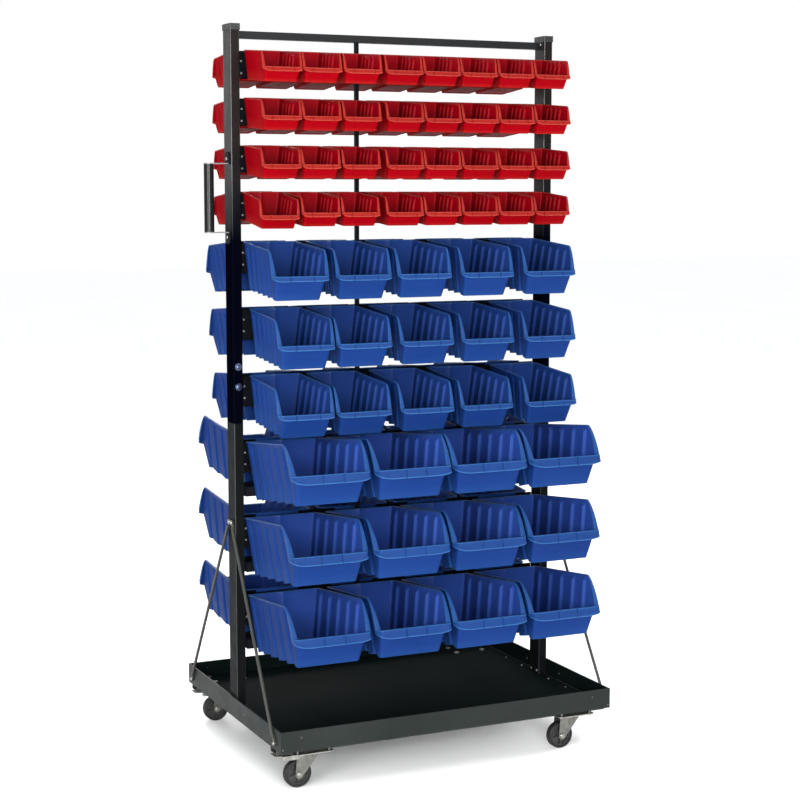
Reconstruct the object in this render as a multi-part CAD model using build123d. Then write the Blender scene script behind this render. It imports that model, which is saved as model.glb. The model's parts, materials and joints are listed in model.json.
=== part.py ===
from build123d import *
import math
import os

# ------------------------------------------------------------------
# Mobile bin cart.  Millimetres.  Z up, floor at Z = 0, front = -Y.
# Everything is laid out about the middle of the tray and moved along
# X by SHIFT_X at the end, so that the origin is under the middle of
# the whole object, handle included.
# ------------------------------------------------------------------
SHIFT_X = 26.4

# tray
TRAY_L, TRAY_W, TRAY_H = 1000.0, 762.0, 56.0
TRAY_Z0 = 112.0
TRAY_TOP = TRAY_Z0 + TRAY_H
FLOOR_T = 2.0
FLOOR_TOP = 124.0
HEM_T, HEM_H = 4.0, 12.0

# channels under the tray
CH_Y0, CH_Y1 = 306.0, 350.0
CH_Z0, CH_T = 99.0, 2.5

# castors
CAST_X, CAST_Y = 400.0, 330.0
TRAIL = 35.0
WHEEL_R, WHEEL_W = 37.5, 24.0
AXLE_R = 4.0
PLATE_Z0, PLATE_Z1 = 96.0, 99.0
PLATE_HX, PLATE_HY = 45.0, 31.0
LEG_IN, LEG_T = 15.0, 2.5
PIV_X, PIV_Z = -31.0, 88.5

# posts
POST_X, POST_TX, POST_TY, POST_WALL = 480.0, 27.0, 58.0, 2.0
POST_IN = POST_X - POST_TX / 2
POST_OUT = POST_X + POST_TX / 2
JOINT_Z = 938.0
POST_TOP = 2012.0
SLEEVE_Z0, SLEEVE_Z1 = 820.0, 1125.0
BOLT_ZS = (1039.0, 1094.0)
CAP_Z0, CAP_Z1 = 1998.0, 2015.0

# top bar and strut
BAR_Z0, BAR_Z1, BAR_Y0, BAR_Y1 = 1978.0, 1998.0, 3.0, 23.0
STRUT_X, STRUT_TX, STRUT_TY = -114.0, 10.0, 12.0
STRUT_Z0 = 384.0

# rails: front face level with the faces of the posts
RAIL_Y0, RAIL_Y1, RAIL_DROP = 27.0, 29.0, 3.2
RAIL_HS = {"small": 70.0, "medium": 83.0, "large": 83.0}
RAIL_HOLES = (27.0, 59.0)
HANG_Y = 31.0
PROP_Y0, PROP_Y1, PROP_TOP, PROP_H = 12.0, 43.5, 124.5, 26.0

FOOT_YS, FOOT_Z = (15.0, -17.0), 133.5
TAB_Y, TAB_Z = -10.0, 1990.0

# braces
BR_TOP_Y, BR_TOP_Z, BR_BOT_Y, BR_BOT_Z, BR_R = 9.0, 662.0, 342.0, 131.0, 4.25

# handle on the left post
HAN_X, HAN_R, HAN_Z0, HAN_Z1 = -547.5, 13.5, 1460.5, 1642.5

# hanging bins.  ths: front-down tilt of each row in degrees.  Widths
# across, lengths out from the rail, heights down from the top edge.
# xs: places along the front rails, row by row, bxs: along the back rails, each
# counted from the left as seen from its own side.
BINS = {
    "small": dict(wtb=108.5, wtf=111.5, wb=91.8, lt=153.3, lr=167.5, dr=40.0, lip=12.0,
                  fl=2.0, lw=161.0, lb=143.8, h=78.9, t=2.2, yb=10.6, ths=(4.7, 4.5, 4.5, 5.2),
                  rows=(1946.0, 1819.6, 1693.0, 1568.0),
                  xs=((-403.1, -289.6, -172.8, -51.7, 62.6, 176.5, 291.9, 406.4),
                      (-405.1, -291.7, -175.2, -48.0, 66.3, 181.3, 294.8, 409.3),
                      (-407.5, -294.7, -177.8, -48.6, 66.0, 180.9, 294.8, 409.3),
                      (-405.7, -295.6, -179.9, -49.0, 66.6, 181.6, 295.8, 409.9)),
                  bxs=((-390.0, -278.0, -165.5, -52.5, 60.5, 187.5, 302.5, 415.8),
                       (-394.0, -280.0, -166.5, -40.5, 73.5, 187.5, 304.5, 417.3),
                       (-398.0, -285.5, -164.0, -51.0, 62.0, 175.0, 289.5, 403.3),
                       (-391.0, -278.9, -165.5, -52.5, 62.5, 176.5, 304.5, 418.5))),
    "medium": dict(wtb=151.5, wtf=161.0, wb=126.0, lt=210.9, lr=255.1, dr=65.0, lip=14.5,
                   fl=2.5, lw=246.0, lb=221.6, h=132.8, t=2.4, yb=11.3, ths=(4.6, 4.6, 4.6),
                   rows=(1434.5, 1253.2, 1070.3),
                   xs=((-388.3, -207.2, -28.7, 162.3, 357.4),
                       (-373.0, -206.3, -20.8, 164.8, 360.3),
                       (-374.6, -207.8, -19.9, 162.6, 365.4)),
                   bxs=((-356.5, -162.0, 28.5, 205.5, 389.4),
                        (-362.5, -176.0, 12.5, 199.5, 382.6),
                        (-351.5, -168.0, 20.5, 196.5, 376.2))),
    "large": dict(wtb=212.5, wtf=223.0, wb=177.0, lt=302.2, lr=369.8, dr=82.0, lip=25.0,
                  fl=3.0, lw=357.0, lb=318.4, h=162.1, t=2.6, yb=1.0, ths=(-6.1, -6.1, -6.1),
                  rows=(887.4, 676.0, 459.2),
                  xs=((-356.9, -120.2, 108.5, 341.1),
                      (-363.1, -123.3, 108.8, 341.1),
                      (-355.7, -119.0, 111.9, 345.9)),
                  bxs=((-344.8, -112.8, 115.7, 347.6),
                       (-348.8, -118.8, 110.7, 350.0),
                       (-341.8, -108.8, 121.7, 351.0))),
}
# bins that are loose parts of their own: (side, size, row, place)
LOOSE = [
    ("front", "small", 1, 4), ("front", "small", 2, 7), ("front", "small", 4, 1),
    ("front", "medium", 1, 5), ("front", "medium", 2, 1), ("front", "medium", 3, 3),
    ("front", "large", 2, 2), ("front", "large", 2, 4), ("front", "large", 3, 1),
    ("back", "small", 2, 5), ("back", "medium", 2, 3), ("back", "large", 3, 2),
]


# ------------------------------------------------------------------
# small helpers
# ------------------------------------------------------------------
def box(x0, x1, y0, y1, z0, z1):
    return Pos((x0 + x1) / 2, (y0 + y1) / 2, (z0 + z1) / 2) * Box(abs(x1 - x0), abs(y1 - y0), abs(z1 - z0))


def cyl_z(x, y, z0, z1, r):
    return Pos(x, y, (z0 + z1) / 2) * Cylinder(r, z1 - z0)


def cyl_y(x, z, y0, y1, r):
    return Pos(x, (y0 + y1) / 2, z) * (Rot(90, 0, 0) * Cylinder(r, abs(y1 - y0)))


def cyl_x(y, z, x0, x1, r):
    return Pos((x0 + x1) / 2, y, z) * (Rot(0, 90, 0) * Cylinder(r, abs(x1 - x0)))


def prism_xz(pts, y0, y1):
    """Outline in X and Z, thickness along Y."""
    w = Wire.make_polygon([Vector(x, y0, z) for x, z in pts], close=True)
    return Solid.extrude(Face(w), Vector(0, y1 - y0, 0))


def prism_yz(pts, x0, x1):
    """Outline in Y and Z, thickness along X."""
    w = Wire.make_polygon([Vector(x0, y, z) for y, z in pts], close=True)
    return Solid.extrude(Face(w), Vector(x1 - x0, 0, 0))


def hex_y(x, z, y0, y1, af):
    r = af / math.sqrt(3)
    return prism_xz([(x + r * math.cos(math.radians(60 * i)), z + r * math.sin(math.radians(60 * i))) for i in range(6)], y0, y1)


def hex_z(x, y, z0, z1, af):
    return Pos(x, y, z0) * extrude(RegularPolygon(af / math.sqrt(3), 6), z1 - z0)


def dome(at, direction, r, h):
    """Low round head: a disc with its outer edge rounded."""
    d = Cylinder(r, h, align=(Align.CENTER, Align.CENTER, Align.MIN))
    d = fillet(d.edges().group_by(Axis.Z)[-1], min(h, r) * 0.7)
    return Plane(origin=at, z_dir=direction).location * d


def solids_of(items):
    out = []
    for s in items:
        out += list(s.solids())
    return out


NODES = {}


def put(name, *items):
    NODES.setdefault(name, []).extend(solids_of(items))


def both_ends(s):
    return [s, mirror(s, about=Plane.YZ)]


def back_of(s):
    """The same piece on the other side of the cart, turned half round."""
    return Rot(0, 0, 180) * s


# ------------------------------------------------------------------
# tray and channels
# ------------------------------------------------------------------
hx, hy = TRAY_L / 2, TRAY_W / 2
tray = box(-hx, hx, -hy, hy, TRAY_Z0, TRAY_TOP)
tray -= box(-hx + FLOOR_T, hx - FLOOR_T, -hy + FLOOR_T, hy - FLOOR_T, TRAY_Z0 - 1, FLOOR_TOP - FLOOR_T)
tray -= box(-hx + FLOOR_T, hx - FLOOR_T, -hy + FLOOR_T, hy - FLOOR_T, FLOOR_TOP, TRAY_TOP - HEM_H)
tray -= box(-hx + HEM_T, hx - HEM_T, -hy + HEM_T, hy - HEM_T, FLOOR_TOP, TRAY_TOP + 1)
castor_spots = [(sx, sy) for sx in (-1, 1) for sy in (-1, 1)]
for sx, sy in castor_spots:
    for ax in (-1, 1):
        for ay in (-1, 1):
            tray -= cyl_z(sx * CAST_X + ax * PLATE_HX, sy * CAST_Y + ay * PLATE_HY, FLOOR_TOP - 4, FLOOR_TOP + 2, 4.0)
for sx, sy in castor_spots:
    tray -= cyl_x(sy * BR_BOT_Y, BR_BOT_Z, sx * (hx - 5), sx * (hx + 2), 3.0)
    tray -= cyl_x(sy * 97.0, 140.0, sx * (hx - 5), sx * (hx + 2), 1.5)
    for y in (82.0, 184.0):
        tray -= cyl_z(sx * 470.0, sy * y, FLOOR_TOP - 5, FLOOR_TOP + 1, 1.5)
    for x, z in ((442.0, 149.0), (494.0, 121.0)):
        tray -= cyl_y(sx * x, z, sy * (hy - 5), sy * (hy + 2), 1.2)
put("tray", tray)

for sy in (-1, 1):
    ch = box(-hx, hx, sy * CH_Y0, sy * CH_Y1, CH_Z0, FLOOR_TOP - FLOOR_T)
    ch -= box(-hx - 1, hx + 1, sy * (CH_Y0 + CH_T), sy * (CH_Y1 - CH_T), CH_Z0 + CH_T, FLOOR_TOP)
    for sx in (-1, 1):
        # notched at both ends to clear the skirt of the tray
        ch -= box(sx * (hx - FLOOR_T - 0.5), sx * (hx + 1), sy * (CH_Y0 - 1), sy * (CH_Y1 + 1), TRAY_Z0 - 0.3, FLOOR_TOP)
    put("under_channels", ch)

# ------------------------------------------------------------------
# castors.  Local frame: swivel axis at x = y = 0, floor at z = 0,
# the wheel trails towards -x.
# ------------------------------------------------------------------
plate = box(-56, 56, -41, 41, PLATE_Z0, PLATE_Z1)
plate = fillet(plate.edges().filter_by(Axis.Z), 8)
for ax in (-1, 1):
    for ay in (-1, 1):
        plate -= cyl_z(ax * PLATE_HX, ay * PLATE_HY, PLATE_Z0 - 1, PLATE_Z1 + 1, 4.0)
ring = cyl_z(0, 0, 93.3, PLATE_Z0, 25) - cyl_z(0, 0, 93.0, PLATE_Z0 + 1, 18)
plate = plate - cyl_z(0, 0, PLATE_Z0 - 1, PLATE_Z1 + 1, 6.0) + ring

pin = cyl_z(0, 0, 86.2, PLATE_Z1, 6.0) + dome((0, 0, 89.6), (0, 0, -1), 10, 3.4)

leg_pts = [(-40.5, 93.0), (24.0, 93.0)]
for a in range(-38, -200, -12):
    leg_pts.append((-TRAIL + 11 * math.cos(math.radians(a)), WHEEL_R + 11 * math.sin(math.radians(a))))
fork = None
for s in (-1, 1):
    leg = prism_xz(leg_pts, s * LEG_IN, s * (LEG_IN + LEG_T))
    # two upright flutes pressed into the wide part of the leg
    for fx0, fx1, fz in ((-13.0, -8.0, 66.0), (2.0, 7.0, 80.0)):
        leg += box(fx0, fx1, s * (LEG_IN + LEG_T), s * (LEG_IN + LEG_T + 1.6), fz, 92.0)
    leg -= cyl_y(-TRAIL, WHEEL_R, -30, 30, AXLE_R)
    leg -= cyl_y(PIV_X, PIV_Z, -30, 30, 2.5)
    fork = leg if fork is None else fork + leg
crown = box(-24, 24, -LEG_IN - 0.5, LEG_IN + 0.5, 90.0, 93.0) + cyl_z(0, 0, 90.0, 93.0, 24)
crown -= cyl_z(0, 0, 88, 95, 6.06)
crown -= box(-60, 60, LEG_IN + LEG_T, 60, 80, 100)
crown -= box(-60, 60, -60, -LEG_IN - LEG_T, 80, 100)
fork = fork + crown

axle = cyl_y(-TRAIL, WHEEL_R, -LEG_IN - LEG_T, LEG_IN + LEG_T + 6.5, AXLE_R)
axle += dome((-TRAIL, -LEG_IN - LEG_T, WHEEL_R), (0, -1, 0), 7.5, 4.5)
axle += hex_y(-TRAIL, WHEEL_R, LEG_IN + LEG_T, LEG_IN + LEG_T + 5.5, 13)

hub = cyl_y(-TRAIL, WHEEL_R, -14.4, 14.4, 9.0)
hub += cyl_y(-TRAIL, WHEEL_R, -9.5, 9.5, 29.0) - cyl_y(-TRAIL, WHEEL_R, -12, 12, 25.5)
hub += cyl_y(-TRAIL, WHEEL_R, -2.0, 2.0, 27.0)
for i in range(5):
    rib = box(0, 27, -1.6, 1.6, -8.5, 8.5)
    rib = Pos(-TRAIL, 0, WHEEL_R) * (Rot(0, 72 * i + 18, 0) * (Rot(90, 0, 0) * rib))
    hub += rib
hub -= cyl_y(-TRAIL, WHEEL_R, -20, 20, AXLE_R + 0.06)

tyre = cyl_y(-TRAIL, WHEEL_R, -WHEEL_W / 2, WHEEL_W / 2, WHEEL_R)
tyre = fillet(tyre.edges().filter_by(GeomType.CIRCLE), 5.0)
tyre -= cyl_y(-TRAIL, WHEEL_R, -20, 20, 29.0)

# brake pedal: two cheeks outside the fork, a top web, a tongue to step on and a shoe bar
ck0, ck1 = LEG_IN + LEG_T + 2.0, LEG_IN + LEG_T + 3.6
pedal = None
for s in (-1, 1):
    cheek = prism_xz([(PIV_X + 6, 84.0), (PIV_X + 6, 91.8), (PIV_X + 3, 92.8), (-80.0, 92.8), (-84.0, 89.0), (-79.0, 81.5), (-42.0, 80.5)], s * ck0, s * ck1)
    cheek -= cyl_y(PIV_X, PIV_Z, -40, 40, 2.56)
    pedal = cheek if pedal is None else pedal + cheek
pedal += box(-80.0, -58.0, -ck1, ck1, 91.4, 92.8)
pedal += prism_xz([(-79.0, 91.4), (-79.0, 92.8), (-104.0, 95.6), (-104.0, 94.0)], -16.0, 16.0)
pedal += cyl_y(-62.0, 86.5, -ck1 - 1.2, ck1 + 1.2, 4.0)
pedal_pin = cyl_y(PIV_X, PIV_Z, -ck1 - 0.8, ck1 + 0.8, 2.5)
pedal_pin += dome((PIV_X, -ck1 - 0.4, PIV_Z), (0, -1, 0), 4.5, 2.0) + dome((PIV_X, ck1 + 0.4, PIV_Z), (0, 1, 0), 4.5, 2.0)

cbolt = cyl_z(0, 0, PLATE_Z0 - 1.0, FLOOR_TOP, 3.9) + dome((0, 0, FLOOR_TOP), (0, 0, 1), 8.5, 3.6)
cbolt += dome((0, 0, PLATE_Z0), (0, 0, -1), 7.5, 2.4)

for tag, sx, sy in (("front_left", -1, -1), ("front_right", 1, -1), ("back_left", -1, 1), ("back_right", 1, 1)):
    at = Pos(sx * CAST_X, sy * CAST_Y, 0)
    put("castor_plates", at * plate)
    put("king_pins", at * pin)
    put("fork_" + tag, at * fork)
    put("axle_" + tag, at * axle)
    put("hub_" + tag, at * hub)
    put("tyre_" + tag, at * tyre)
    if sx < 0:
        put("brake_pedal_" + tag, at * pedal)
        put("brake_pin_" + tag, at * pedal_pin)
    for ax in (-1, 1):
        for ay in (-1, 1):
            put("castor_bolts", Pos(sx * CAST_X + ax * PLATE_HX, sy * CAST_Y + ay * PLATE_HY, 0) * cbolt)

# ------------------------------------------------------------------
# posts, sleeves, feet, caps
# ------------------------------------------------------------------
def tube(x, z0, z1, tx, ty, wall, r=3.0):
    o = extrude(RectangleRounded(tx, ty, r), z1 - z0)
    i = extrude(RectangleRounded(tx - 2 * wall, ty - 2 * wall, max(r - wall, 0.6)), z1 - z0 + 2)
    return Pos(x, 0, z0) * (o - Pos(0, 0, -1) * i)


for s in (-1, 1):
    lower = tube(s * POST_X, FLOOR_TOP, JOINT_Z, POST_TX, POST_TY, POST_WALL)
    upper = tube(s * POST_X, JOINT_Z, POST_TOP, POST_TX, POST_TY, POST_WALL)
    sleeve = tube(s * POST_X, SLEEVE_Z0, SLEEVE_Z1, POST_TX - 2 * POST_WALL - 0.2, POST_TY - 2 * POST_WALL - 0.2, 1.8, 1.2)
    face = POST_TY / 2
    for z in BOLT_ZS:
        hole = cyl_y(s * POST_X, z, -40, 40, 4.0)
        upper -= hole
        sleeve -= hole
        b = cyl_y(s * POST_X, z, -face - 1.0, face + 8.0, 4.0)
        for q in (-1, 1):
            b += cyl_y(s * POST_X, z, q * face, q * (face + 1.6), 10.0)
        b += dome((s * POST_X, -face - 1.6, z), (0, -1, 0), 7.0, 4.6)
        b += hex_y(s * POST_X, z, face + 1.6, face + 7.0, 13)
        put("splice_bolts", b)
    put("splice_sleeves", sleeve)
    foot = box(s * POST_X - 10.0, s * POST_X + 10.0, -21.5, 21.5, FLOOR_TOP, FLOOR_TOP + 3)
    fin = s * (POST_IN + POST_WALL + 0.1)
    foot += box(fin, fin + s * 3, -21.5, 21.5, FLOOR_TOP, FLOOR_TOP + 40)
    for y in FOOT_YS:
        hole = cyl_x(y, FOOT_Z, s * (POST_IN - 2), s * (POST_IN + 8), 2.0)
        foot -= hole
        lower -= hole
    upper -= cyl_x(TAB_Y, TAB_Z, s * (POST_IN - 2), s * (POST_IN + 6), 2.0)
    lower -= cyl_x(BR_TOP_Y, BR_TOP_Z, s * (POST_OUT - 8), s * (POST_OUT + 3), 3.0)
    lower -= cyl_x(-BR_TOP_Y, BR_TOP_Z, s * (POST_OUT - 8), s * (POST_OUT + 3), 3.0)
    if s < 0:
        for zs in (HAN_Z1 + 14.0, HAN_Z0 - 14.0):
            upper -= cyl_x(0, zs, -POST_OUT - 3, -POST_OUT + 8, 2.5)
    put("lower_posts", lower)
    put("upper_posts", upper)
    put("post_feet", foot)
    cap = box(s * POST_X - 15.5, s * POST_X + 15.5, -POST_TY / 2 - 2, POST_TY / 2 + 2, CAP_Z0, CAP_Z1)
    cap = fillet(cap.edges().filter_by(Axis.Z), 3.5)
    cap = fillet(cap.edges().group_by(Axis.Z)[-1], 1.5)
    cap -= Pos(s * POST_X, 0, CAP_Z0 - 1) * extrude(RectangleRounded(POST_TX, POST_TY, 3.0), POST_TOP - CAP_Z0 + 1)
    put("post_caps", cap)

# ------------------------------------------------------------------
# top bar: square tube with a bent tab at each end
# ------------------------------------------------------------------
bar = box(-POST_IN, POST_IN, BAR_Y0, BAR_Y1, BAR_Z0, BAR_Z1)
bar -= box(-POST_IN + 2.5, POST_IN - 2.5, BAR_Y0 + 1.5, BAR_Y1 - 1.5, BAR_Z0 + 1.5, BAR_Z1 - 1.5)
for s in (-1, 1):
    bar += box(s * (POST_IN - 2.5), s * POST_IN, -22, BAR_Y1, BAR_Z0 - 1.5, BAR_Z1)
    bar -= cyl_x(TAB_Y, TAB_Z, s * (POST_IN - 5), s * (POST_IN + 3), 2.0)
put("top_bar", bar)

# strut from the top bar down to the lowest rails, bolted to both rails of each row
strut = box(STRUT_X - STRUT_TX / 2, STRUT_X + STRUT_TX / 2, -STRUT_TY / 2, STRUT_TY / 2, STRUT_Z0, BAR_Z0)
strut -= box(STRUT_X - STRUT_TX / 2 + 1.5, STRUT_X + STRUT_TX / 2 - 1.5, -STRUT_TY / 2 + 1.5, STRUT_TY / 2 - 1.5, STRUT_Z0 - 1, BAR_Z0 - 2)


def small_screw(at, direction, r=3.3, h=1.8, shank=5.0, rs=1.6):
    d = Vector(*direction)
    s = dome(at, direction, r, h)
    c = Cylinder(rs, shank, align=(Align.CENTER, Align.CENTER, Align.MAX))
    return s + Plane(origin=at, z_dir=d).location * c


ALL_ROWS = [(z, "small") for z in BINS["small"]["rows"]] + [(z, "medium") for z in BINS["medium"]["rows"]] + [(z, "large") for z in BINS["large"]["rows"]]
strut_bolts = []
for zrow, size in ALL_ROWS:
    top = zrow - RAIL_DROP
    zb = top - RAIL_HS[size] + 15.0
    strut -= cyl_y(STRUT_X, zb, -40, 40, 2.5)
    bolt = cyl_y(STRUT_X, zb, -RAIL_Y1, RAIL_Y1, 2.5)
    bolt += cyl_y(STRUT_X, zb, -RAIL_Y1 - 1.4, -RAIL_Y1, 5.0) + cyl_y(STRUT_X, zb, RAIL_Y1, RAIL_Y1 + 1.4, 5.0)
    strut_bolts.append(bolt)
put("centre_strut", strut)
put("strut_bolts", *strut_bolts)

# ------------------------------------------------------------------
# rails, one behind each row on both sides, with angles on the posts
# ------------------------------------------------------------------
for zrow, size in ALL_ROWS:
    top, high = zrow - RAIL_DROP, RAIL_HS[size]
    rail = box(-POST_IN + 0.3, POST_IN - 0.3, -RAIL_Y1, -RAIL_Y0, top - high, top)
    rail += box(-POST_IN + 26, POST_IN - 26, -RAIL_Y1, -RAIL_Y1 + 12, top - high, top - high + 2)
    rail -= cyl_y(STRUT_X, top - high + 15.0, -40, 0, 2.5)
    rail_b = back_of(box(-POST_IN + 0.3, POST_IN - 0.3, -RAIL_Y1, -RAIL_Y0, top - high, top)
                     + box(-POST_IN + 26, POST_IN - 26, -RAIL_Y1, -RAIL_Y1 + 12, top - high, top - high + 2))
    rail_b -= cyl_y(STRUT_X, top - high + 15.0, 0, 40, 2.5)
    for s in (-1, 1):
        angle = box(s * (POST_IN - 2), s * POST_IN, -RAIL_Y0, -5, top - high + 4, top - 12)
        angle += box(s * (POST_IN - 22), s * POST_IN, -RAIL_Y0, -RAIL_Y0 + 2, top - high + 4, top - 12)
        scr = []
        for dz in RAIL_HOLES:
            hole = cyl_y(s * (POST_IN - 4.0), top - dz, -40, -10, 1.6)
            rail -= hole
            rail_b -= back_of(hole)
            angle -= hole
            scr.append(small_screw((s * (POST_IN - 4.0), -RAIL_Y1, top - dz), (0, -1, 0), r=3.2, h=1.4, shank=4.5))
        put("rail_angles", angle, back_of(angle))
        for q in scr:
            put("small_screws", q, back_of(q))
    put("bin_rails", rail, rail_b)

# prop bars: channels under the rails of the large bins
for zrow in BINS["large"]["rows"]:
    z1 = zrow - PROP_TOP
    z0 = z1 - PROP_H
    prop = box(-POST_IN + 0.2, POST_IN - 0.2, -PROP_Y1, -PROP_Y0, z0, z1)
    prop -= box(-POST_IN + 2.2, POST_IN - 2.2, -PROP_Y1 + 1.8, -PROP_Y0 + 1, z0 + 1.8, z1 - 1.8)
    put("prop_bars", prop, back_of(prop))

# ------------------------------------------------------------------
# brace rods with flattened ends
# ------------------------------------------------------------------
for sx in (-1, 1):
    for sy in (-1, 1):
        a = Vector(sx * (POST_OUT + 4.6), sy * BR_TOP_Y, BR_TOP_Z)
        b = Vector(sx * (hx + 4.55), sy * BR_BOT_Y, BR_BOT_Z)
        d = (b - a).normalized()
        p0, p1 = a + d * 14, b - d * 14
        rod = Plane(origin=p0, z_dir=d).location * Cylinder(BR_R, (p1 - p0).length, align=(Align.CENTER, Align.CENTER, Align.MIN))
        for e, face, sgn in ((a, POST_OUT, 1), (b, hx, -1)):
            dd = d * sgn
            flat = Vector(0, dd.Y, dd.Z).normalized()
            nrm = Vector(0, -flat.Z, flat.Y)
            c0, c1 = e, e + flat * 24
            w0, w1 = 7.0, 4.4
            x0 = sx * face
            pts = []
            for k in range(0, 181, 20):
                an = math.radians(90 + k)
                v = c0 + flat * (w0 * math.cos(an)) + nrm * (w0 * math.sin(an))
                pts.append((v.Y, v.Z))
            v = c1 - nrm * w1
            pts.append((v.Y, v.Z))
            v = c1 + nrm * w1
            pts.append((v.Y, v.Z))
            tab = prism_yz(pts, x0 + sx * 0.3, x0 + sx * 4.7)
            tab -= cyl_x(e.Y, e.Z, x0 - sx * 2, x0 + sx * 9, 3.0)
            rod += tab
            br = cyl_x(e.Y, e.Z, x0 - sx * 6.0, x0 + sx * 5.0, 3.0)
            br += dome((x0 + sx * 4.7, e.Y, e.Z), (sx, 0, 0), 6.0, 4.0)
            put("brace_bolts", br)
        put("brace_rods", rod)

# ------------------------------------------------------------------
# handle: upright tube between two bent brackets
# ------------------------------------------------------------------
han = cyl_z(HAN_X, 0, HAN_Z0, HAN_Z1, HAN_R) - cyl_z(HAN_X, 0, HAN_Z0 - 1, HAN_Z1 + 1, HAN_R - 2.5)
put("handle_tube", han)
for up in (1, -1):
    zc = HAN_Z1 if up > 0 else HAN_Z0
    zz = sorted((zc, zc + up * 3.0))
    br = box(HAN_X, -POST_OUT, -13, 13, zz[0], zz[1]) + cyl_z(HAN_X, 0, zz[0], zz[1], HAN_R)
    tz = sorted((zc, zc + up * 33.0))
    tab = box(-POST_OUT - 3.0, -POST_OUT, -17, 17, tz[0], tz[1])
    end = tab.edges().filter_by(Axis.X).group_by(Axis.Z)[-1 if up > 0 else 0]
    tab = fillet(end, 12)
    br += tab
    zs = zc + up * 14.0
    br -= cyl_x(0, zs, -POST_OUT - 6, -POST_OUT + 6, 2.5)
    put("handle_brackets", br)
    put("small_screws", small_screw((-POST_OUT - 3.0, 0, zs), (-1, 0, 0), r=5.5, h=3.0, shank=8.0, rs=2.5))

# ------------------------------------------------------------------
# small screws of the frame
# ------------------------------------------------------------------
frame_screws = []
for s in (-1, 1):
    frame_screws.append(small_screw((s * (POST_IN - 2.5), TAB_Y, TAB_Z), (-s, 0, 0), r=4.5, h=3.0, shank=5.0, rs=2.0))
    for y in FOOT_YS:
        frame_screws.append(small_screw((s * POST_IN, y, FOOT_Z), (-s, 0, 0), r=4.2, h=2.6, shank=5.0, rs=2.0))
    for sy in (-1, 1):
        frame_screws.append(small_screw((s * (hx - 2.0), sy * 97.0, 140.0), (-s, 0, 0), r=3.2, h=1.6, shank=2.0, rs=1.5))
        for y in (82.0, 184.0):
            frame_screws.append(small_screw((s * 470.0, sy * y, FLOOR_TOP), (0, 0, 1), r=3.2, h=1.6, shank=2.0, rs=1.5))
        for x in (442.0, 494.0):
            frame_screws.append(small_screw((s * x, sy * hy, 149.0 if x < 450 else 121.0), (0, sy, 0), r=2.4, h=0.8, shank=2.0, rs=1.2))
put("small_screws", *frame_screws)


# ------------------------------------------------------------------
# hanging bins.  Local frame: x across, back wall at y = 0, the bin
# points towards -y, top edge at z = 0.
# ------------------------------------------------------------------
def quad(z, half_back, y_back, half_front, y_front):
    return [Vector(-half_back, -y_back, z), Vector(half_back, -y_back, z),
            Vector(half_front, -y_front, z), Vector(-half_front, -y_front, z)]


def frustum(low, high):
    """Flat-sided solid between two four-cornered outlines."""
    sides = [Face(Wire.make_polygon([low[i], low[(i + 1) % 4], high[(i + 1) % 4], high[i]], close=True)) for i in range(4)]
    return Solid(Shell(sides + [Face(Wire.make_polygon(low, close=True)), Face(Wire.make_polygon(high, close=True))]))


def mouth_curve(p):
    """Side view of the mouth, from the straight top edge down to the front lip."""
    dx, dz = p["lr"] - p["lt"], p["dr"]
    k = ((-0.10, 0.0), (0.16, 0.07), (0.42, 0.30), (0.66, 0.60), (0.78, 0.84), (0.84, 1.0))
    return [(p["lt"] + a * dx, -b * dz) for a, b in k]


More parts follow.
